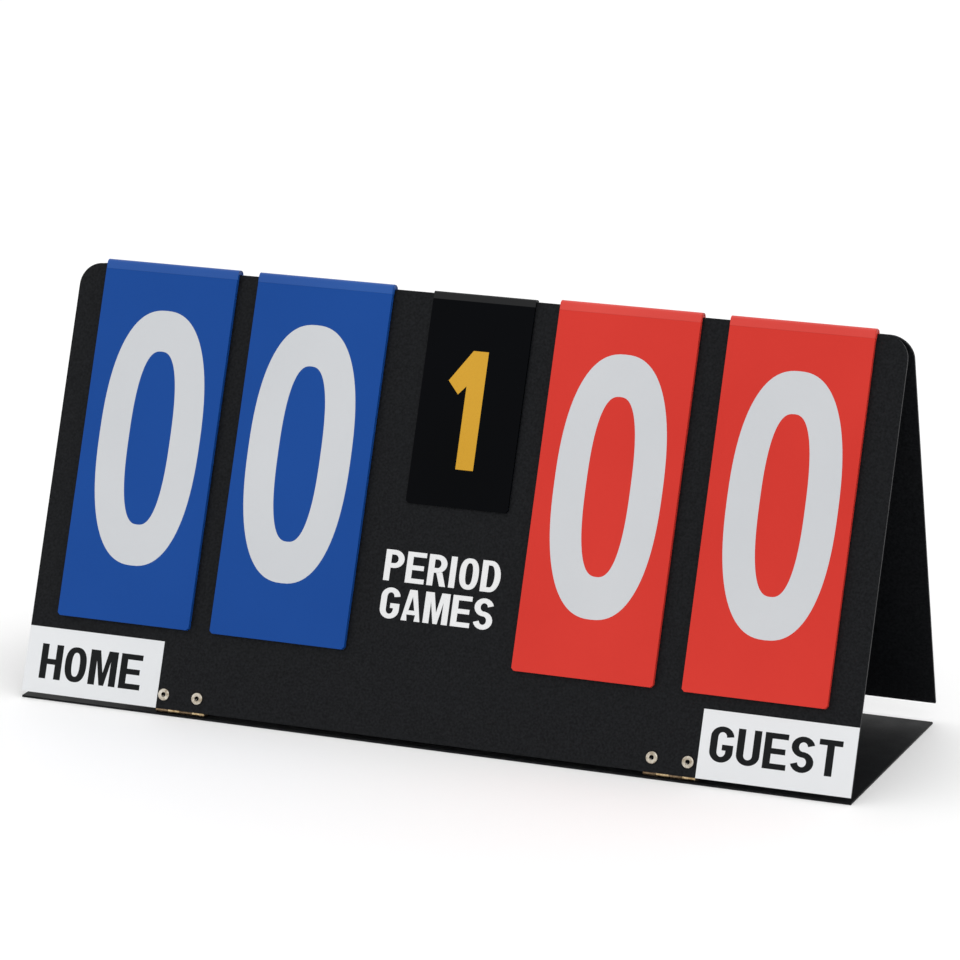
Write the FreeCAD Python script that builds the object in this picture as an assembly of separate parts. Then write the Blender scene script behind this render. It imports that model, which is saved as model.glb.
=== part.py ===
import FreeCAD, Part
import math
import os
from FreeCAD import Placement, Rotation, Vector

# Table-top flip scoreboard: a folding A-frame of three plastic sheets, with five stacks of
# number leaves over its top edge. Millimetres. +X is the reader's right, +Y is the back and
# +Z is up. The origin is the bottom centre of the open board.

# Frame
WIDTH = 508.0
FRONT_LENGTH = 255.0
BACK_REACH = 237.6        # ridge pin to the back panel's lower edge
FLOOR_REAR = 153.6        # rear edge of the floor sheet, behind the front panel's lower edge
SHEET = 1.5
FLOOR_SHEET = 1.2
CORNER_R = 13.5
FRONT_LEAN = 20.8         # degrees from upright
BACK_LEAN = 15.2
FRONT_EDGE_HEIGHT = 4.1   # front panel's lower edge above the table
FLOOR_LIP = 0.3           # floor sheet's front edge, behind the front panel's outer face

# Hinges
RIDGE_OFFSET = 2.2        # ridge pin to each inner face
RIDGE_DROP = 1.5          # ridge pin below the front panel's top edge
BACK_RISE = 0.5           # back panel's top edge above the ridge pin
FLOOR_OFFSET = 1.6        # floor pin to each inner face
HINGE_WIDTH = 31.0
WING_DEPTH = 15.0
WING_SHEET = 0.8
WING_GAP = 1.9            # wing plate's clearance from the pin
SEGMENTS = 4
SEGMENT_GAP = 0.15
BARREL_R = 1.4
PIN_R = 0.7
PIN_BORE_R = 0.78
FLOOR_HINGE_X = (-152.3, 148.0)
RIDGE_HINGE_X = (-145.3, 141.6)

# Rivets
RIVET_SPACING = 21.2
RIVET_RISE = 8.4          # rivet centre along the wing, from the panel's edge
RIVET_SHANK_R = 1.9
RIVET_BORE_R = 1.4
RIVET_HEAD_R = 3.3
RIVET_HEAD = 0.8
RIVET_TAIL_R = 2.8
RIVET_TAIL = 0.4
RIVET_FIT = 0.05
ROOT_RIVET_X = 14.0
ROOT_RIVET_DROP = 10.0

# Labels, flush with the front panel's lower corners
LABEL_HEIGHT = 38.7
LABEL_SHEET = 0.15
HOME_LABEL_WIDTH = 87.0
GUEST_LABEL_WIDTH = 90.0

# Leaves: (stack name, centre x, width, bottom edge, first number, number of leaves)
SCORE_WIDTH = 84.5
SCORE_BOTTOM = 46.5
PERIOD_WIDTH = 62.5
PERIOD_BOTTOM = 134.0
STACKS = (
    ("home_tens", -194.3, SCORE_WIDTH, SCORE_BOTTOM, 0, 10),
    ("home_ones", -96.3, SCORE_WIDTH, SCORE_BOTTOM, 0, 10),
    ("period", 2.2, PERIOD_WIDTH, PERIOD_BOTTOM, 1, 5),
    ("guest_tens", 91.0, SCORE_WIDTH, SCORE_BOTTOM, 0, 10),
    ("guest_ones", 192.6, SCORE_WIDTH, SCORE_BOTTOM, 0, 10),
)
LEAF_SHEET = 0.22
LEAF_PITCH = 0.27
LEAF_CLEAR = 0.25         # rearmost leaf to the panel
LEAF_TOP = 252.0
LEAF_CHAMFER = 1.5
ROOT_FILLET_LIMIT = 0.9    # largest share of a root's depth its rounding takes
DOME_FILLET_SHARE = 0.7    # share of a rivet head's height that is rounded
SAME_LENGTH = 1e-6         # two edge lengths closer than this are the same
ROOT_SEAM = 0.3           # gap between a leaf and its root
ROOT_TONGUE_WIDTH = 46.0
ROOT_TONGUE_END = 238.0
ROOT_CORNER_R = 2.4
HINGE_NOTCH = 0.8         # leaf root's clearance from a ridge hinge, each side

X_AXIS = Vector(1, 0, 0)
RIDGE_ANGLE = FRONT_LEAN + BACK_LEAN


def front_place(s, out):
    """The point at distance s up the front panel and distance out in front of its outer face."""
    lean = math.radians(FRONT_LEAN)
    y = s * math.sin(lean) - out * math.cos(lean)
    z = FRONT_EDGE_HEIGHT + s * math.cos(lean) + out * math.sin(lean)
    return Vector(0, y, z)


RIDGE_PIN = front_place(FRONT_LENGTH - RIDGE_DROP, -(SHEET + RIDGE_OFFSET))
FLOOR_PIN_Z = FLOOR_SHEET + FLOOR_OFFSET
FLOOR_PIN_OUT = -(SHEET + FLOOR_OFFSET)
FLOOR_PIN_S = ((FLOOR_PIN_Z - FRONT_EDGE_HEIGHT - FLOOR_PIN_OUT * math.sin(math.radians(FRONT_LEAN)))
               / math.cos(math.radians(FRONT_LEAN)))
FLOOR_PIN = front_place(FLOOR_PIN_S, FLOOR_PIN_OUT)

# Each panel's own frame: local X is the board's X, local Y runs up the sheet, and local Z is
# the sheet's front face direction.
FRONT = Placement(front_place(0, 0), Rotation(X_AXIS, 90 - FRONT_LEAN))
BACK = Placement(RIDGE_PIN, Rotation(X_AXIS, 90 + BACK_LEAN))
# Wing frames: origin on the pin, local Y along the wing away from the pin, local Z from the
# sheet's inner face towards the pin.
HALF_TURN = Rotation(Vector(0, 1, 0), 180)
FLOOR_WING_FRONT = Placement(FLOOR_PIN, Rotation(X_AXIS, 90 - FRONT_LEAN).multiply(HALF_TURN))
FLOOR_WING_FLOOR = Placement(FLOOR_PIN, Rotation())
FLAT_TURN = Rotation(Vector(0, 0, 1), 180)
RIDGE_WING_FRONT = Placement(RIDGE_PIN, Rotation(X_AXIS, -90 - FRONT_LEAN))
RIDGE_WING_BACK = Placement(RIDGE_PIN, Rotation(X_AXIS, 90 + BACK_LEAN).multiply(FLAT_TURN))


def pile(count):
    """Thickness of a pile of leaves."""
    return count * LEAF_PITCH - (LEAF_PITCH - LEAF_SHEET)


def flip_axis(count):
    """Centre about which a leaf turns from the front pile's plane to the back pile's plane."""
    reach = RIDGE_OFFSET + SHEET + LEAF_CLEAR + pile(count) / 2
    height = reach / math.sin(math.radians(RIDGE_ANGLE / 2))
    tilt = math.radians((FRONT_LEAN - BACK_LEAN) / 2)
    return RIDGE_PIN + Vector(0, height * math.sin(tilt), height * math.cos(tilt))


def box(x0, x1, y0, y1, z0, z1):
    return Part.makeBox(x1 - x0, y1 - y0, z1 - z0, Vector(x0, y0, z0))


def cylinder(radius, x, y, z0, z1):
    return Part.makeCylinder(radius, z1 - z0, Vector(x, y, z0), Vector(0, 0, 1))


def placed(shape, place):
    moved = shape.copy()
    moved.Placement = place.multiply(shape.Placement)
    return moved


def hinge_rivet_x(centres):
    """Rivet positions across the board for the hinges at these centres."""
    return [x + side * RIVET_SPACING / 2 for x in centres for side in (-1, 1)]


def root_rivet_x():
    return [stack[1] + side * ROOT_RIVET_X for stack in STACKS for side in (-1, 1)]


def drilled(plate, xs, y, z0, z1, radius=RIVET_SHANK_R + RIVET_FIT):
    """The plate with a round hole at each x."""
    for x in xs:
        plate = plate.cut(cylinder(radius, x, y, z0, z1))
    return plate


def rounded_panel(y0, y1, z0, z1):
    """A sheet with its two top corners rounded."""
    plate = box(-WIDTH / 2, WIDTH / 2, y0, y1, z0, z1)
    corners = [edge for edge in plate.Edges
               if abs(edge.Length - (z1 - z0)) < SAME_LENGTH and edge.CenterOfMass.y > (y0 + y1) / 2]
    return plate.makeFillet(CORNER_R, corners)


def front_panel():
    plate = rounded_panel(0, FRONT_LENGTH, -SHEET, 0)
    plate = drilled(plate, hinge_rivet_x(FLOOR_HINGE_X), FLOOR_PIN_S + RIVET_RISE, -SHEET, 0)
    top = FRONT_LENGTH - RIDGE_DROP - RIVET_RISE
    plate = drilled(plate, hinge_rivet_x(RIDGE_HINGE_X), top, -SHEET, 0)
    plate = drilled(plate, root_rivet_x(), FRONT_LENGTH - ROOT_RIVET_DROP, -SHEET, 0)
    return placed(plate, FRONT)


def back_panel():
    plate = rounded_panel(-BACK_REACH, BACK_RISE, -RIDGE_OFFSET - SHEET, -RIDGE_OFFSET)
    plate = drilled(plate, hinge_rivet_x(RIDGE_HINGE_X), -RIVET_RISE,
                    -RIDGE_OFFSET - SHEET, -RIDGE_OFFSET)
    return placed(plate, BACK)


def floor_panel():
    plate = box(-WIDTH / 2, WIDTH / 2, FLOOR_LIP, FLOOR_REAR, 0, FLOOR_SHEET)
    return drilled(plate, hinge_rivet_x(FLOOR_HINGE_X), FLOOR_PIN.y + RIVET_RISE, 0, FLOOR_SHEET)


def label(x0, x1):
    return placed(box(x0, x1, 0, LABEL_HEIGHT, 0, LABEL_SHEET), FRONT)


def wing(centre, offset, first):
    """One hinge wing in its wing frame, with every second barrel segment starting at first."""
    half = HINGE_WIDTH / 2
    step = HINGE_WIDTH / SEGMENTS
    shape = box(centre - half, centre + half, WING_GAP, WING_DEPTH, -offset, -offset + WING_SHEET)
    for index in range(first, SEGMENTS, 2):
        x0 = centre - half + index * step + SEGMENT_GAP
        x1 = x0 + step - 2 * SEGMENT_GAP
        barrel = Part.makeCylinder(BARREL_R, x1 - x0, Vector(x0, 0, 0), X_AXIS)
        neck = box(x0, x1, 0, WING_GAP, -offset, -offset / 2)
        shape = shape.fuse([barrel, neck])
    bore = Part.makeCylinder(PIN_BORE_R, HINGE_WIDTH, Vector(centre - half, 0, 0), X_AXIS)
    shape = shape.cut(bore).removeSplitter()
    return drilled(shape, hinge_rivet_x([centre]), RIVET_RISE, -offset, -offset + WING_SHEET)


def wings(centres, offset, first, place):
    return Part.makeCompound([placed(wing(x, offset, first), place) for x in centres])


def pins(centres, centre_line):
    """One hinge pin for each hinge."""
    half = HINGE_WIDTH / 2
    return Part.makeCompound([
        Part.makeCylinder(PIN_R, HINGE_WIDTH, centre_line + Vector(x - half, 0, 0), X_AXIS)
        for x in centres])


def tubular_rivet(x, y, inner, outer, tail, head):
    """A rivet from z inner to z outer, with a rolled tail inside and, if head, a domed head."""
    shape = cylinder(RIVET_SHANK_R, x, y, inner, outer)
    shape = shape.fuse(cylinder(RIVET_TAIL_R, x, y, inner - tail, inner))
    if head:
        dome = cylinder(RIVET_HEAD_R, x, y, outer, outer + head)
        rim = [edge for edge in dome.Edges if edge.Closed and edge.CenterOfMass.z > outer + head / 2]
        shape = shape.fuse(dome.makeFillet(head * DOME_FILLET_SHARE, rim))
    shape = shape.cut(cylinder(RIVET_BORE_R, x, y, inner - tail, outer + head))
    return shape.removeSplitter()


def front_panel_rivets():
    """Domed rivets of the floor hinges, and flush ones of the ridge hinges and leaf roots."""
    floor_y = FLOOR_PIN_S + RIVET_RISE
    group = [tubular_rivet(x, floor_y, -SHEET - WING_SHEET, 0, RIVET_TAIL, RIVET_HEAD)
             for x in hinge_rivet_x(FLOOR_HINGE_X)]
    ridge_y = FRONT_LENGTH - RIDGE_DROP - RIVET_RISE
    group += [tubular_rivet(x, ridge_y, -SHEET - WING_SHEET, 0, RIVET_TAIL, 0)
              for x in hinge_rivet_x(RIDGE_HINGE_X)]
    root_y = FRONT_LENGTH - ROOT_RIVET_DROP
    for name, centre, width, bottom, first, count in STACKS:
        inner = -SHEET - LEAF_CLEAR - pile(count)
        group += [tubular_rivet(centre + side * ROOT_RIVET_X, root_y, inner, 0, RIVET_TAIL, 0)
                  for side in (-1, 1)]
    return placed(Part.makeCompound(group), FRONT)


def back_panel_rivets():
    turn = Placement(Vector(), Rotation(X_AXIS, 180))
    inner = RIDGE_OFFSET - WING_SHEET
    group = [placed(tubular_rivet(x, RIVET_RISE, inner, RIDGE_OFFSET + SHEET, RIVET_TAIL, 0), turn)
             for x in hinge_rivet_x(RIDGE_HINGE_X)]
    return placed(Part.makeCompound(group), BACK)


def floor_panel_rivets():
    turn = Placement(Vector(), Rotation(X_AXIS, 180))
    inner = -FLOOR_SHEET - WING_SHEET
    y = -FLOOR_PIN.y - RIVET_RISE
    group = [placed(tubular_rivet(x, y, inner, 0, RIVET_TAIL, 0), turn)
             for x in hinge_rivet_x(FLOOR_HINGE_X)]
    return Part.makeCompound(group)


def leaf_root(centre, width, count):
    """The bent upper end of a stack: front lip, crest over the panel's top edge, inner tongue."""
    depth = pile(count)
    half = width / 2
    low = LEAF_TOP + ROOT_SEAM
    top = FRONT_LENGTH + LEAF_CLEAR
    back = -SHEET - LEAF_CLEAR - depth
    crest = box(centre - half, centre + half, low, top + depth, back, LEAF_CLEAR + depth)
    long_edges = [edge for edge in crest.Edges
                  if abs(edge.Length - width) < SAME_LENGTH and edge.CenterOfMass.y > top]
    crest = crest.makeFillet(min(ROOT_CORNER_R, depth * ROOT_FILLET_LIMIT), long_edges)
    crest = crest.cut(box(centre - half, centre + half, low, top, -SHEET - LEAF_CLEAR, LEAF_CLEAR))
    for x in RIDGE_HINGE_X:
        notch = HINGE_WIDTH / 2 + HINGE_NOTCH
        crest = crest.cut(box(x - notch, x + notch, low, top, back, -SHEET - LEAF_CLEAR))
    tongue_half = ROOT_TONGUE_WIDTH / 2
    tongue = box(centre - tongue_half, centre + tongue_half, ROOT_TONGUE_END, low,
                 back, -SHEET - LEAF_CLEAR)
    root = crest.fuse(tongue).removeSplitter()
    return drilled(root, [centre - ROOT_RIVET_X, centre + ROOT_RIVET_X],
                   FRONT_LENGTH - ROOT_RIVET_DROP, back, -SHEET - LEAF_CLEAR)


def leaf_roots():
    group = [leaf_root(centre, width, count) for name, centre, width, bottom, first, count in STACKS]
    return placed(Part.makeCompound(group), FRONT)


def leaf(centre, width, bottom, layer):
    """A flat leaf with small clipped lower corners. Layer 0 lies next to the panel."""
    half = width / 2
    height = LEAF_CLEAR + layer * LEAF_PITCH
    outline = ((-half, LEAF_TOP), (half, LEAF_TOP), (half, bottom + LEAF_CHAMFER),
               (half - LEAF_CHAMFER, bottom), (LEAF_CHAMFER - half, bottom),
               (-half, bottom + LEAF_CHAMFER))
    points = [Vector(centre + x, y, height) for x, y in outline]
    face = Part.Face(Part.makePolygon(points + points[:1]))
    return placed(face.extrude(Vector(0, 0, LEAF_SHEET)), FRONT)


def build():
    """Every node's shape, with the origin at the open board's bottom centre."""
    half = WIDTH / 2
    shapes = {
        "front_panel": front_panel(),
        "back_panel": back_panel(),
        "floor_panel": floor_panel(),
        "home_label": label(-half, -half + HOME_LABEL_WIDTH),
        "guest_label": label(half - GUEST_LABEL_WIDTH, half),
        "leaf_roots": leaf_roots(),
        "ridge_hinge_front_wings": wings(RIDGE_HINGE_X, RIDGE_OFFSET, 0, RIDGE_WING_FRONT),
        "ridge_hinge_back_wings": wings([-x for x in RIDGE_HINGE_X], RIDGE_OFFSET, 0, RIDGE_WING_BACK),
        "ridge_hinge_pins": pins(RIDGE_HINGE_X, RIDGE_PIN),
        "floor_hinge_front_wings": wings([-x for x in FLOOR_HINGE_X], FLOOR_OFFSET, 0, FLOOR_WING_FRONT),
        "floor_hinge_floor_wings": wings(FLOOR_HINGE_X, FLOOR_OFFSET, 0, FLOOR_WING_FLOOR),
        "floor_hinge_pins": pins(FLOOR_HINGE_X, FLOOR_PIN),
        "front_panel_rivets": front_panel_rivets(),
        "back_panel_rivets": back_panel_rivets(),
        "floor_panel_rivets": floor_panel_rivets(),
    }
    for name, centre, width, bottom, first, count in STACKS:
        for index in range(count):
            shapes[f"{name}_{first + index}"] = leaf(centre, width, bottom, count - 1 - index)
    return shapes


def centre_shift(shapes):
    """The move that puts the origin at the bottom centre of the whole board's box."""
    whole = FreeCAD.BoundBox()
    for shape in shapes.values():
        whole.add(shape.BoundBox)
    return Vector(-whole.Center.x, -whole.Center.y, -whole.ZMin)


SHAPES = build()
SHIFT = centre_shift(SHAPES)
os.makedirs("parts", exist_ok=True)
for node, shape in SHAPES.items():
    shape.translate(SHIFT)
    shape.exportStep(os.path.join("parts", node + ".step"))
print(len(SHAPES), "nodes; shift", SHIFT)
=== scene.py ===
"""Table-top flip scoreboard: the looks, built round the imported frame. Metres."""

import math

import bmesh
import bpy
from mathutils import Matrix, Vector


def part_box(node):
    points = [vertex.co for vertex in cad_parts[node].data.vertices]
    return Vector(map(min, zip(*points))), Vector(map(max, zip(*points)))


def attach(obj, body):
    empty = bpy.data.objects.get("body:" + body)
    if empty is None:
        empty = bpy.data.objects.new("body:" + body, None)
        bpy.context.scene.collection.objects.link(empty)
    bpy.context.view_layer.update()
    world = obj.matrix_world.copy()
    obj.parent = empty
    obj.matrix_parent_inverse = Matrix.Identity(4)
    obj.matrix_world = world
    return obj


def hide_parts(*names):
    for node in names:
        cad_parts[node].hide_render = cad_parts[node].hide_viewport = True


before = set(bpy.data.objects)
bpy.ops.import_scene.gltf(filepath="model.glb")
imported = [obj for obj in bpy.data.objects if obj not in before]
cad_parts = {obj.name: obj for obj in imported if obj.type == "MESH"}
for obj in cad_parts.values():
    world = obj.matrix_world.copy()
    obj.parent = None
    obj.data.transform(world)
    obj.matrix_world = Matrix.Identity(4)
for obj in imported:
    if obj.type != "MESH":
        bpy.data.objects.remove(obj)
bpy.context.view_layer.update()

MM = 0.001

# The board. Heights are measured up the front panel from its lower edge.
LEAN = math.radians(20.8)      # of the front panel, back from upright
SHEET = 1.5 * MM
LABEL_SHEET = 0.15 * MM
PANEL_TOP = 255.0 * MM

# Leaves and their bent roots
LEAF_SHEET = 0.22 * MM
LEAF_PITCH = 0.27 * MM         # from one leaf to the next
LEAF_CLEAR = 0.25 * MM         # from the panel to the lowest leaf
LEAF_TOP = 252.0 * MM
LIP_GAP = 0.05 * MM            # between a root's ends and what they meet
BEND_RADIUS = 0.20 * MM        # of the innermost sheet
BEND_STEPS = 8
LEAF_SLIP = 0.25 * MM          # how far a sheet may lie to one side
SLIP_PER_LAYER = 1.7           # radians
SLIP_PER_METRE = 40.0
LEFT_SLIP = 0.3                # the left edge's share of the right edge's slip
TONGUE_WIDTH = 46.0 * MM
TONGUE_END = 238.0 * MM

# Hinges and rivets
HINGE_WIDTH = 31.0 * MM
RIVET_SPACING = 21.2 * MM
RIVET_RISE = 8.19 * MM
RIVET_HEAD = 0.8 * MM
RIVET_RIM = 3.5 * MM
RIVET_BORE = 1.7 * MM
BORE_FOOT = 0.2                # heights on a rivet's rim, as shares of its head
ROLL_BASE = 0.55
ROLL_RISE = 0.75
RIM_FOOT = 0.1
LATHE_STEPS = 40

# Print
PRINT = 0.02 * MM              # thickness of printed ink
PRINT_GAP = 0.004 * MM
SCORE_NUMBER = (64.5 * MM, 150.0 * MM)
SCORE_NUMBER_BASE = 80.0 * MM
SCORE_STROKE = (19.0 * MM, 24.0 * MM)
PERIOD_NUMBER = (34.5 * MM, 68.2 * MM)
PERIOD_NUMBER_BASE = 155.8 * MM
PERIOD_STROKE = (10.8 * MM, 11.5 * MM)
NARROW = {"I": 0.36, "M": 1.28, "1": 0.64}
LETTER_SPACE = 0.15            # of a letter's width
LETTER_STROKE = 0.315          # of a letter's width
LEVEL_STROKE = 0.74            # a level stroke's share of an upright one
OVAL_POWER = 2.42              # 2 is an ellipse, and more is squarer
INNER_POWER = 0.15             # how much squarer an oval's hole is
OVAL_POINTS = 96
BOWL_REACH = 0.52              # of a D's width, taken by its round side

# Word: (left, right, lowest, highest), across from the panel's middle
PANEL_WORDS = {
    "PERIOD": (-37.0 * MM, 34.0 * MM, 88.8 * MM, 106.6 * MM),
    "GAMES": (-36.5 * MM, 32.5 * MM, 67.3 * MM, 85.1 * MM),
}
# Word: its label, then the same, across from the label's left edge
LABEL_WORDS = {
    "HOME": ("home_label", (9.6 * MM, 75.0 * MM, 8.6 * MM, 29.0 * MM)),
    "GUEST": ("guest_label", (6.0 * MM, 82.0 * MM, 10.2 * MM, 30.2 * MM)),
}

# Stack name: (first number, number of leaves, sideways offset of its numbers)
STACKS = {
    "home_tens": (0, 10, 0.6 * MM),
    "home_ones": (0, 10, -1.7 * MM),
    "period": (1, 5, -4.0 * MM),
    "guest_tens": (0, 10, 0.7 * MM),
    "guest_ones": (0, 10, 1.7 * MM),
}


# ---------------------------------------------------------------- materials

RAMP_START = 0.3               # the stretch of a noise's values that a ramp spreads
RAMP_STOP = 0.7
GLOSS_PATCHES = 60.0           # noise scales
METAL_SPOTS = 420.0
METAL_STREAKS = 900.0
FILM_GLOSS = (0.93, 1.08)      # shares of the roughness
METAL_GLOSS = (0.7, 1.5)
FILM_RELIEF = 0.12 * MM
METAL_RELIEF = 0.05 * MM
METAL_DENTS = 0.25


def new_material(name, base, roughness):
    material = bpy.data.materials.new(name)
    material.use_nodes = True
    shader = material.node_tree.nodes["Principled BSDF"]
    shader.inputs["Base Color"].default_value = (*base, 1.0)
    shader.inputs["Roughness"].default_value = roughness
    return material, material.node_tree, shader


def noise(tree, scale, detail=4.0, distortion=0.0, stretch=(1.0, 1.0, 1.0)):
    """A noise texture in the piece's own coordinates, stretched along its axes."""
    place = tree.nodes.new("ShaderNodeTexCoord")
    mapping = tree.nodes.new("ShaderNodeMapping")
    mapping.inputs["Scale"].default_value = stretch
    texture = tree.nodes.new("ShaderNodeTexNoise")
    texture.inputs["Scale"].default_value = scale
    texture.inputs["Detail"].default_value = detail
    texture.inputs["Distortion"].default_value = distortion
    tree.links.new(place.outputs["Object"], mapping.inputs["Vector"])
    tree.links.new(mapping.outputs["Vector"], texture.inputs["Vector"])
    return texture.outputs["Fac"]


def ramp(tree, value, low, high):
    """The value spread between two greys or colours."""
    node = tree.nodes.new("ShaderNodeValToRGB")
    node.color_ramp.elements[0].position = RAMP_START
    node.color_ramp.elements[1].position = RAMP_STOP
    node.color_ramp.elements[0].color = (*low, 1.0)
    node.color_ramp.elements[1].color = (*high, 1.0)
    tree.links.new(value, node.inputs["Fac"])
    return node.outputs["Color"]


def grey(level):
    return (level, level, level)


def bump(tree, shader, value, strength, distance):
    node = tree.nodes.new("ShaderNodeBump")
    node.inputs["Strength"].default_value = strength
    node.inputs["Distance"].default_value = distance
    tree.links.new(value, node.inputs["Height"])
    tree.links.new(node.outputs["Normal"], shader.inputs["Normal"])


def film(name, dark, light, roughness, grain, strength, shine=0.11, drift=9.0):
    """Printed vinyl or plastic sheet: colour drift or speckle, grain and uneven gloss."""
    material, tree, shader = new_material(name, light, roughness)
    shader.inputs["Specular IOR Level"].default_value = shine
    cloud = noise(tree, drift, 3.0)
    tree.links.new(ramp(tree, cloud, dark, light), shader.inputs["Base Color"])
    low, high = (grey(roughness * share) for share in FILM_GLOSS)
    gloss = ramp(tree, noise(tree, GLOSS_PATCHES, 5.0), low, high)
    tree.links.new(gloss, shader.inputs["Roughness"])
    bump(tree, shader, noise(tree, grain, 6.0, 0.3), strength, FILM_RELIEF)
    return material


def metal(name, dark, light, roughness, stretch):
    """Plated metal with drawn streaks, dulled spots and small dents."""
    material, tree, shader = new_material(name, light, roughness)
    shader.inputs["Metallic"].default_value = 1.0
    spots = noise(tree, METAL_SPOTS, 6.0, 0.6)
    tree.links.new(ramp(tree, spots, dark, light), shader.inputs["Base Color"])
    streaks = noise(tree, METAL_STREAKS, 4.0, 0.0, stretch)
    low, high = (grey(roughness * share) for share in METAL_GLOSS)
    tree.links.new(ramp(tree, streaks, low, high), shader.inputs["Roughness"])
    bump(tree, shader, streaks, METAL_DENTS, METAL_RELIEF)
    return material


PANEL = film("black_sheet", (0.0022, 0.0026, 0.0034), (0.0098, 0.0106, 0.0122), 0.50, 1300.0, 0.55,
             drift=760.0)
BLUE = film("blue_vinyl", (0.0055, 0.058, 0.278), (0.0070, 0.064, 0.300), 0.36, 650.0, 0.28)
RED = film("red_vinyl", (0.600, 0.033, 0.023), (0.655, 0.040, 0.028), 0.38, 480.0, 0.65)
BLACK = film("black_vinyl", (0.0003, 0.0006, 0.0012), (0.0007, 0.0011, 0.0022), 0.18, 400.0, 0.08, 0.05)
# The bent roots: the leaf vinyls lightened, a painted highlight where the sheets roll over the top edge,
# and given more shine.
BLUE_BEND_PAINTED_HIGHLIGHT = film("blue_bend_painted_highlight", (0.0060, 0.062, 0.290), (0.0110, 0.085, 0.350), 0.34, 700.0, 0.20, 0.30)
RED_BEND_PAINTED_HIGHLIGHT = film("red_bend_painted_highlight", (0.620, 0.036, 0.026), (0.700, 0.060, 0.045), 0.36, 520.0, 0.40, 0.30)
BLACK_BEND_PAINTED_HIGHLIGHT = film("black_bend_painted_highlight", (0.0010, 0.0014, 0.0020), (0.0030, 0.0035, 0.0045), 0.26, 400.0, 0.10, 0.30)
WHITE_FILM = film("white_film", (0.740, 0.755, 0.770), (0.785, 0.798, 0.812), 0.40, 600.0, 0.10)
WHITE_INK = film("white_ink", (0.575, 0.592, 0.615), (0.610, 0.625, 0.645), 0.42, 800.0, 0.10)
PANEL_INK = film("panel_ink", (0.780, 0.785, 0.790), (0.830, 0.832, 0.835), 0.46, 900.0, 0.15)
AMBER_INK = film("amber_ink", (0.600, 0.320, 0.026), (0.660, 0.360, 0.036), 0.40, 800.0, 0.10)
BLACK_INK = film("black_ink", (0.0045, 0.0055, 0.0060), (0.0080, 0.0090, 0.0098), 0.45, 800.0, 0.10)
BRASS = metal("hinge_brass", (0.36, 0.22, 0.09), (0.83, 0.66, 0.40), 0.34, (0.15, 1.0, 1.0))
# A darker copy of the same brass: painted shade on the wings on the back panel and on the floor panel.
BRASS_PAINTED_SHADE = metal("hinge_brass_painted_shade", (0.12, 0.075, 0.040), (0.40, 0.29, 0.18), 0.42, (0.15, 1.0, 1.0))
RIVET = metal("rivet_brass", (0.34, 0.28, 0.20), (0.74, 0.69, 0.60), 0.24, (1.0, 1.0, 1.0))
STEEL = metal("pin_steel", (0.30, 0.28, 0.25), (0.62, 0.60, 0.56), 0.30, (0.1, 1.0, 1.0))

FILMS = {"home": BLUE, "guest": RED, "period": BLACK}
# Films of the bent roots, lightened as a painted highlight
PAINTED_HIGHLIGHT_ROOTS = {"home": BLUE_BEND_PAINTED_HIGHLIGHT, "guest": RED_BEND_PAINTED_HIGHLIGHT, "period": BLACK_BEND_PAINTED_HIGHLIGHT}
INKS = {"home": WHITE_INK, "guest": WHITE_INK, "period": AMBER_INK}


def paint(node, material):
    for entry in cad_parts[node].material_slots:
        entry.material = material


def side(stack):
    """home, guest or period: what a stack counts."""
    return stack.split("_")[0]


# ---------------------------------------------------------------- places

label_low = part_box("home_label")[0]
BASE = Vector((0.0, label_low[1] + LABEL_SHEET * math.cos(LEAN), label_low[2]))
UP = Vector((0.0, math.sin(LEAN), math.cos(LEAN)))
OUT = Vector((0.0, -math.cos(LEAN), math.sin(LEAN)))
RIGHT = Vector((1.0, 0.0, 0.0))
FRONT = Matrix.Translation(BASE) @ Matrix((RIGHT, UP, OUT)).transposed().to_4x4()


def span(node):
    """Lowest and highest x of a CAD node."""
    low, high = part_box(node)
    return low[0], high[0]


def make_piece(name, mesh, material, body):
    """A piece laid out in the front panel's own frame: x, height up the panel, and out."""
    mesh.transform(FRONT)
    mesh.materials.clear()
    mesh.materials.append(material)
    piece = bpy.data.objects.new(name, mesh)
    bpy.context.scene.collection.objects.link(piece)
    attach(piece, body)
    return piece


# ---------------------------------------------------------------- print

def superellipse(width, height, power):
    """A closed upright oval with squarish shoulders, about the origin."""
    points = []
    for index in range(OVAL_POINTS):
        angle = 2 * math.pi * index / OVAL_POINTS
        cosine = math.cos(angle)
        sine = math.sin(angle)
        x = math.copysign(abs(cosine) ** (2 / power), cosine) * width / 2
        y = math.copysign(abs(sine) ** (2 / power), sine) * height / 2
        points.append((x, y))
    return points


def filled(outlines, height):
    """A thin solid from closed outlines. An outline inside another is a hole."""
    curve = bpy.data.curves.new("outline", "CURVE")
    curve.dimensions = "2D"
    curve.fill_mode = "BOTH"
    curve.extrude = PRINT / 2
    for points in outlines:
        spline = curve.splines.new("POLY")
        spline.points.add(len(points) - 1)
        for point, (x, y) in zip(spline.points, points):
            point.co = (x, y, 0.0, 1.0)
        spline.use_cyclic_u = True
    return solid_from(curve, height)


def solid_from(curve, height):
    """The mesh of a filled curve, with its underside at a height above the panel."""
    holder = bpy.data.objects.new("outline", curve)
    bpy.context.scene.collection.objects.link(holder)
    bpy.context.view_layer.update()
    mesh = bpy.data.meshes.new_from_object(holder)
    bpy.data.objects.remove(holder)
    mesh.transform(Matrix.Translation((0.0, 0.0, height + PRINT / 2)))
    return mesh


def shifted(points, x, y):
    return [(px + x, py + y) for px, py in points]


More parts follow.
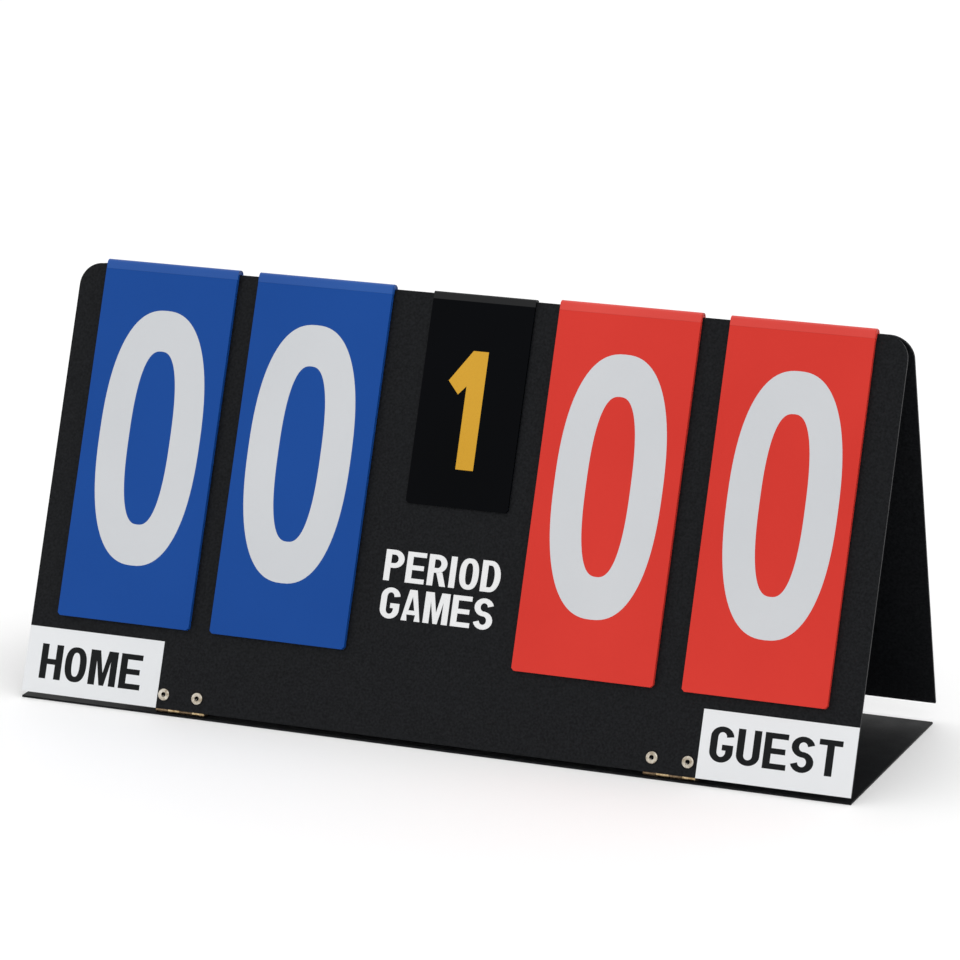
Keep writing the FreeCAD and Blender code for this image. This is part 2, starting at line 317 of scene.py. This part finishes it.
def arc(centre, radius, start, stop, steps=14):
    """Points round part of an ellipse. Angles are in degrees from +x."""
    points = []
    for index in range(steps + 1):
        angle = math.radians(start + (stop - start) * index / steps)
        points.append((centre[0] + radius[0] * math.cos(angle), centre[1] + radius[1] * math.sin(angle)))
    return points


def ribbon(path, width, rise):
    """The outline of a stroke along a path: width across upright runs, rise across level ones."""
    sides = ([], [])
    for index, (x, y) in enumerate(path):
        before = path[max(index - 1, 0)]
        after = path[min(index + 1, len(path) - 1)]
        run = Vector((after[0] - before[0], after[1] - before[1])).normalized()
        sides[0].append((x - run.y * width / 2, y + run.x * rise / 2))
        sides[1].append((x + run.y * width / 2, y - run.x * rise / 2))
    return sides[0] + sides[1][::-1]


def bar(x0, x1, y0, y1):
    return [(x0, y0), (x1, y0), (x1, y1), (x0, y1)]


def oval(x0, x1, y0, y1, stroke, rise):
    """An upright ring: its outer and inner outlines."""
    middle = ((x0 + x1) / 2, (y0 + y1) / 2)
    outer = superellipse(x1 - x0, y1 - y0, OVAL_POWER)
    inner = superellipse(x1 - x0 - 2 * stroke, y1 - y0 - 2 * rise, OVAL_POWER + INNER_POWER)
    return [shifted(outer, *middle), shifted(inner, *middle)]


def bowl(x0, x1, y0, y1, stroke, rise):
    """A D-shaped ring: straight at x0 and round at x1."""
    outlines = []
    for inset, drop in ((0.0, 0.0), (stroke, rise)):
        radius = ((x1 - x0) * BOWL_REACH - inset, (y1 - y0) / 2 - drop)
        centre = (x1 - inset - radius[0], (y0 + y1) / 2)
        round_side = arc(centre, radius, -90, 90)
        outlines.append([(x0 + inset, y0 + drop)] + round_side + [(x0 + inset, y1 - drop)])
    return outlines


def digit(sign, w, h, t, r):
    """A digit as groups of outlines. Each group is filled by itself, with its holes.

    It is w wide and h high. Upright strokes are t across, and level ones r.
    """
    half = t / 2
    thin = r / 2
    if sign == "0":
        return [oval(0, w, 0, h, t, r)]
    if sign == "1":
        return [[[(w - t, 0), (w, 0), (w, h), (w - t * 0.86, h), (0, h * 0.735), (t * 0.62, h * 0.625),
                  (w - t, h * 0.70)]]]
    if sign == "2":
        hook = arc((w / 2, h - w / 2), (w / 2 - half, w / 2 - thin), 180, -25)
        return [[ribbon(hook + [(w * 0.62, h * 0.42), (half, r * 1.02)], t, r)], [bar(0, w, 0, r)]]
    if sign == "3":
        upper = arc((w / 2, h * 0.75), (w / 2 - half, h / 4 - thin), 170, -90)
        lower = arc((w / 2, h * 0.27), (w / 2 - half, h * 0.27 - thin), 90, -170)
        return [[ribbon(upper, t, r)], [ribbon(lower, t, r)]]
    if sign == "4":
        stem = w * 0.56
        low = h * 0.22
        slope = [(0, low + r), (t * 0.95, low + r), (stem, h * 0.72), (stem, h), (w * 0.46, h)]
        return [[bar(stem, stem + t, 0, h)], [bar(0, stem, low, low + r)], [slope],
                [bar(stem + t, w, low, low + r)]]
    if sign == "5":
        curl = arc((w * 0.46, h * 0.32), (w * 0.54 - half, h * 0.32 - thin), 105, -160)
        return [[bar(t * 0.35, w * 0.94, h - r, h)], [bar(t * 0.35, t * 1.2, h * 0.5, h - r)],
                [ribbon(curl, t, r)]]
    if sign == "6":
        back = arc((w / 2, h - w / 2), (w / 2 - half, w / 2 - thin), 20, 180)
        return [oval(0, w, 0, h * 0.6, t, r), [ribbon(back + [(half, h * 0.3)], t, r)]]
    if sign == "7":
        return [[bar(0, w, h - r, h)], [[(w * 0.16, 0), (w * 0.16 + t, 0), (w, h - r), (w - t, h - r)]]]
    if sign == "8":
        return [oval(w * 0.04, w * 0.96, h / 2, h, t, r), oval(0, w, 0, h / 2, t, r)]
    six = digit("6", w, h, t, r)         # a 9 is a 6 turned half round
    return [[[(w - x, h - y) for x, y in outline] for outline in group] for group in six]


def letter(sign, w, h, t, r):
    """A capital as groups of outlines, measured as a digit is. What no test names is an S."""
    half = t / 2
    thin = r / 2
    mid = h / 2
    if sign == "O":
        return [oval(0, w, 0, h, t, r)]
    if sign == "H":
        return [[[(0, 0), (t, 0), (t, mid - thin), (w - t, mid - thin), (w - t, 0), (w, 0), (w, h),
                  (w - t, h), (w - t, mid + thin), (t, mid + thin), (t, h), (0, h)]]]
    if sign == "I":
        return [[bar(0, t, 0, h)]]
    if sign == "E":
        return [[[(0, 0), (w, 0), (w, r), (t, r), (t, mid - thin), (w * 0.92, mid - thin),
                  (w * 0.92, mid + thin), (t, mid + thin), (t, h - r), (w, h - r), (w, h), (0, h)]]]
    if sign == "T":
        left = w / 2 - half
        return [[[(left, 0), (left + t, 0), (left + t, h - r), (w, h - r), (w, h), (0, h), (0, h - r),
                  (left, h - r)]]]
    if sign == "M":
        return [[[(0, 0), (t, 0), (t, h * 0.70), (w / 2 - half * 0.7, 0), (w / 2 + half * 0.7, 0),
                  (w - t, h * 0.70), (w - t, 0), (w, 0), (w, h), (w - t * 1.4, h), (w / 2, h * 0.36),
                  (t * 1.4, h), (0, h)]]]
    if sign == "A":
        return [[[(0, 0), (t, 0), (w * 0.27, h * 0.2), (w * 0.73, h * 0.2), (w - t, 0), (w, 0),
                  (w / 2 + t * 0.62, h), (w / 2 - t * 0.62, h)],
                 [(w * 0.345, h * 0.2 + r * 0.9), (w * 0.655, h * 0.2 + r * 0.9), (w / 2, h * 0.78)]]]
    if sign == "D":
        return [bowl(0, w, 0, h, t, r)]
    if sign == "P":
        return [bowl(0, w, h * 0.42, h, t, r), [bar(0, t, 0, h * 0.42)]]
    if sign == "R":
        leg = [(w * 0.60 - half, h * 0.43), (w * 0.60 + half, h * 0.45), (w, 0), (w - t, 0)]
        return [bowl(0, w * 0.97, h * 0.42, h, t, r), [bar(0, t, 0, h * 0.42)], [leg]]
    if sign == "U":
        well = arc((w / 2, w * 0.42), (w / 2 - half, w * 0.42 - thin), 180, 360)
        return [[ribbon([(half, h)] + well + [(w - half, h)], t, r)]]
    if sign == "G":
        sweep = arc((w / 2, h * 0.70), (w / 2 - half, h * 0.30 - thin), 5, 180)
        sweep += arc((w / 2, h * 0.30), (w / 2 - half, h * 0.30 - thin), 180, 360)
        return [[ribbon(sweep + [(w - half, mid)], t, r)], [bar(w * 0.52, w - t, mid - r, mid)]]
    reach = (w / 2 - half, (h - r) / 4)
    upper = arc((w / 2, mid + reach[1]), reach, 12, 262)
    lower = arc((w / 2, mid - reach[1]), reach, 82, -168)
    return [[ribbon(upper + lower, t, r)]]


def finished(mesh, name):
    """A bmesh as mesh data."""
    data = bpy.data.meshes.new(name)
    mesh.to_mesh(data)
    mesh.free()
    return data


def printed(groups, x, y, height):
    """One mesh of all the groups, moved to a place on the panel."""
    mesh = bmesh.new()
    for group in groups:
        mesh.from_mesh(filled([shifted(points, x, y) for points in group], height))
    return finished(mesh, "print")


def word_mesh(text, box, height):
    """A word in condensed bold capitals that fills a box on the panel."""
    left, right, low, high = box
    shares = [NARROW.get(sign, 1.0) for sign in text]
    unit = (right - left) / (sum(shares) + LETTER_SPACE * (len(text) - 1))
    stroke = unit * LETTER_STROKE
    mesh = bmesh.new()
    x = left
    for sign, share in zip(text, shares):
        groups = letter(sign, unit * share, high - low, stroke, stroke * LEVEL_STROKE)
        mesh.from_mesh(printed(groups, x, low, height))
        x += unit * (share + LETTER_SPACE)
    return finished(mesh, "word")


def number_mesh(stack, number, centre, height):
    """The printed number of one leaf."""
    if side(stack) == "period":
        width, tall = PERIOD_NUMBER
        low = PERIOD_NUMBER_BASE
        stroke, rise = PERIOD_STROKE
    else:
        width, tall = SCORE_NUMBER
        low = SCORE_NUMBER_BASE
        stroke, rise = SCORE_STROKE
    wide = width * NARROW.get(str(number), 1.0)
    return printed(digit(str(number), wide, tall, stroke, rise), centre - wide / 2, low, height)


def build_numbers():
    """The films of all the leaves, and the number on each one."""
    for stack, (first, count, offset) in STACKS.items():
        for index in range(count):
            node = f"{stack}_{first + index}"
            left, right = span(node)
            layer = count - 1 - index
            height = LEAF_CLEAR + layer * LEAF_PITCH + LEAF_SHEET + PRINT_GAP
            mesh = number_mesh(stack, first + index, (left + right) / 2 + offset, height)
            make_piece("number_" + node, mesh, INKS[side(stack)], node)
            paint(node, FILMS[side(stack)])


def build_words():
    """Words printed on the front panel and on its two labels."""
    for text, box in PANEL_WORDS.items():
        mesh = word_mesh(text, box, PRINT_GAP)
        make_piece("word_" + text.lower(), mesh, PANEL_INK, "front_panel")
    for text, (label, (left, right, low, high)) in LABEL_WORDS.items():
        edge = span(label)[0]
        mesh = word_mesh(text, (edge + left, edge + right, low, high), LABEL_SHEET + PRINT_GAP)
        make_piece("word_" + text.lower(), mesh, BLACK_INK, "front_panel")


# ---------------------------------------------------------------- leaf roots

def bend_path(radius, height, depth, front_low, back_low):
    """One bent sheet's section, (up, out), from its front lip over the top to its back lip."""
    points = [(front_low, height)]
    for centre_out, start, stop in ((height - radius, 0.0, 0.5), (depth + radius, 0.5, 1.0)):
        for index in range(BEND_STEPS + 1):
            angle = math.pi * (start + (stop - start) * index / BEND_STEPS)
            up = PANEL_TOP + height - radius + radius * math.sin(angle)
            points.append((up, centre_out + radius * math.cos(angle)))
    points.append((back_low, depth))
    return points


def bent_sheet(mesh, left, right, radius, height, depth, front_low, back_low):
    """Adds one sheet, bent over the panel's top edge, to a bmesh."""
    outer = bend_path(radius + LEAF_SHEET, height + LEAF_SHEET, depth - LEAF_SHEET, front_low, back_low)
    inner = bend_path(radius, height, depth, front_low, back_low)
    section = outer + inner[::-1]
    ends = []
    for x in (left, right):
        ends.append([mesh.verts.new((x, up, out)) for up, out in section])
    count = len(section)
    for index in range(count):
        after = (index + 1) % count
        mesh.faces.new((ends[0][index], ends[0][after], ends[1][after], ends[1][index]))
    half = count // 2
    for end in ends:
        for index in range(half - 1):
            mesh.faces.new((end[index], end[index + 1], end[count - 2 - index], end[count - 1 - index]))


def build_root(stack, first, count):
    """The bent upper ends of all of a stack's leaves, layer on layer, with a riveted tongue."""
    left, right = span(f"{stack}_{first}")
    middle = (left + right) / 2
    mesh = bmesh.new()
    for layer in range(count):
        height = LEAF_CLEAR + layer * LEAF_PITCH
        depth = -SHEET - height
        radius = BEND_RADIUS + layer * LEAF_PITCH
        slip = LEAF_SLIP * math.sin(SLIP_PER_LAYER * layer + SLIP_PER_METRE * middle)
        bent_sheet(mesh, left + slip * LEFT_SLIP, right + slip, radius, height, depth,
                   LEAF_TOP + LIP_GAP, PANEL_TOP + LIP_GAP)
        tongue = bmesh.ops.create_cube(mesh, size=1.0)
        size = Matrix.Diagonal((TONGUE_WIDTH, PANEL_TOP - TONGUE_END, LEAF_SHEET, 1.0))
        place = Matrix.Translation((middle, (PANEL_TOP + TONGUE_END) / 2, depth - LEAF_SHEET / 2))
        bmesh.ops.transform(mesh, matrix=place @ size, verts=tongue["verts"])
    bmesh.ops.recalc_face_normals(mesh, faces=mesh.faces)
    data = finished(mesh, "root_" + stack)
    # The bend gets its lightened film: a painted highlight over the top edge.
    root = make_piece("root_" + stack, data, PAINTED_HIGHLIGHT_ROOTS[side(stack)], "front_panel")
    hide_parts("leaf_roots")


def build_roots():
    for stack, (first, count, _) in STACKS.items():
        build_root(stack, first, count)


# ---------------------------------------------------------------- frame and hardware

def finish_frame():
    """Materials of the sheets, labels, hinges and rivets."""
    for node in ("front_panel", "back_panel", "floor_panel"):
        paint(node, PANEL)
    for node in ("home_label", "guest_label"):
        paint(node, WHITE_FILM)
    for node in ("ridge_hinge_front_wings", "floor_hinge_front_wings"):
        paint(node, BRASS)
    # The back and floor wings get the darker brass, painted shade.
    for node in ("ridge_hinge_back_wings", "floor_hinge_floor_wings"):
        paint(node, BRASS_PAINTED_SHADE)
    for node in ("ridge_hinge_pins", "floor_hinge_pins"):
        paint(node, STEEL)
    for node in ("front_panel_rivets", "back_panel_rivets", "floor_panel_rivets"):
        paint(node, RIVET)


def lathe(mesh, centre, profile):
    """Adds a closed ring, turned from a profile of (radius, out), to a bmesh."""
    rings = []
    for index in range(LATHE_STEPS):
        angle = 2 * math.pi * index / LATHE_STEPS
        rings.append([mesh.verts.new((centre[0] + radius * math.cos(angle),
                                      centre[1] + radius * math.sin(angle), out))
                      for radius, out in profile])
    for index in range(LATHE_STEPS):
        ring = rings[index]
        after = rings[(index + 1) % LATHE_STEPS]
        for point in range(len(profile)):
            follow = (point + 1) % len(profile)
            mesh.faces.new((ring[point], after[point], after[follow], ring[follow]))


def build_eyelets():
    """The rolled rims of the four tubular rivets that show on the front panel."""
    low, high = span("floor_hinge_pins")
    middle = (RIVET_RIM + RIVET_BORE) / 2
    roll = (middle - RIVET_BORE, RIVET_HEAD * ROLL_RISE)
    profile = [(RIVET_BORE, RIVET_HEAD * BORE_FOOT)]
    profile += arc((middle, RIVET_HEAD * ROLL_BASE), roll, 180, 0, 16)
    profile.append((RIVET_RIM, RIVET_HEAD * RIM_FOOT))
    mesh = bmesh.new()
    for hinge in (low + HINGE_WIDTH / 2, high - HINGE_WIDTH / 2):
        for offset in (-RIVET_SPACING / 2, RIVET_SPACING / 2):
            lathe(mesh, (hinge + offset, RIVET_RISE), profile)
    bmesh.ops.recalc_face_normals(mesh, faces=mesh.faces)
    for face in mesh.faces:
        face.smooth = True
    make_piece("rivet_rims", finished(mesh, "rivet_rims"), RIVET, "front_panel")


# ---------------------------------------------------------------- studio

FLOOR_SIZE = 12.0
FLOOR_GLOW = 0.16
WORLD_STRENGTH = 0.95
LIGHT_TARGET = Vector((0.0, 0.0, 0.12))
# Name: (place, width and depth, watts)
LIGHTS = {
    "key": ((1.6, -2.2, 2.4), (1.8, 1.8), 7.0),
    "fill": ((-2.4, -1.6, 1.5), (1.6, 1.6), 1.5),
    "top": ((0.2, 0.9, 2.6), (2.4, 1.2), 9.0),
}
CAMERA_TARGET = Vector((0.0111, -0.01956, 0.14379))
CAMERA_AZIMUTH = math.radians(22.2525)     # round to the right from straight in front
CAMERA_ELEVATION = math.radians(15.19)
CAMERA_DISTANCE = 2.6216
CAMERA_LENS = 173.15                       # mm
CAMERA_SENSOR = 36.0                       # mm
CAMERA_FAR = 60.0


def area_light(name, place, size, power):
    """A rectangular light that faces the board."""
    data = bpy.data.lights.new(name, "AREA")
    data.shape = "RECTANGLE"
    data.size, data.size_y = size
    data.energy = power
    light = bpy.data.objects.new(name, data)
    light.location = place
    light.rotation_euler = (LIGHT_TARGET - Vector(place)).to_track_quat("-Z", "Y").to_euler()
    bpy.context.scene.collection.objects.link(light)


def build_floor():
    """A pale table that glows a little, so that it stays near white."""
    bpy.ops.mesh.primitive_plane_add(size=FLOOR_SIZE, location=(0.0, 0.0, 0.0))
    floor = bpy.context.object
    floor.name = "studio_floor"
    material, _, shader = new_material("pale_floor", grey(0.86), 0.7)
    shader.inputs["Emission Color"].default_value = (1.0, 1.0, 1.0, 1.0)
    shader.inputs["Emission Strength"].default_value = FLOOR_GLOW
    floor.data.materials.append(material)


def build_studio():
    """The table, a white world and three soft lights."""
    build_floor()
    world = bpy.data.worlds.new("studio")
    world.use_nodes = True
    background = world.node_tree.nodes["Background"]
    background.inputs["Color"].default_value = (1.0, 1.0, 1.0, 1.0)
    background.inputs["Strength"].default_value = WORLD_STRENGTH
    bpy.context.scene.world = world
    for name, (place, size, power) in LIGHTS.items():
        area_light(name, place, size, power)


def build_camera():
    data = bpy.data.cameras.new("camera")
    data.sensor_width = CAMERA_SENSOR
    data.lens = CAMERA_LENS
    data.clip_end = CAMERA_FAR
    camera = bpy.data.objects.new("camera", data)
    level = math.cos(CAMERA_ELEVATION)
    outward = Vector((math.sin(CAMERA_AZIMUTH) * level, -math.cos(CAMERA_AZIMUTH) * level,
                      math.sin(CAMERA_ELEVATION)))
    camera.location = CAMERA_TARGET + outward * CAMERA_DISTANCE
    camera.rotation_euler = (-outward).to_track_quat("-Z", "Y").to_euler()
    bpy.context.scene.collection.objects.link(camera)
    bpy.context.scene.camera = camera


finish_frame()
build_numbers()
build_words()
build_eyelets()
build_roots()
build_studio()
build_camera()
bpy.context.scene.view_settings.view_transform = "Standard"
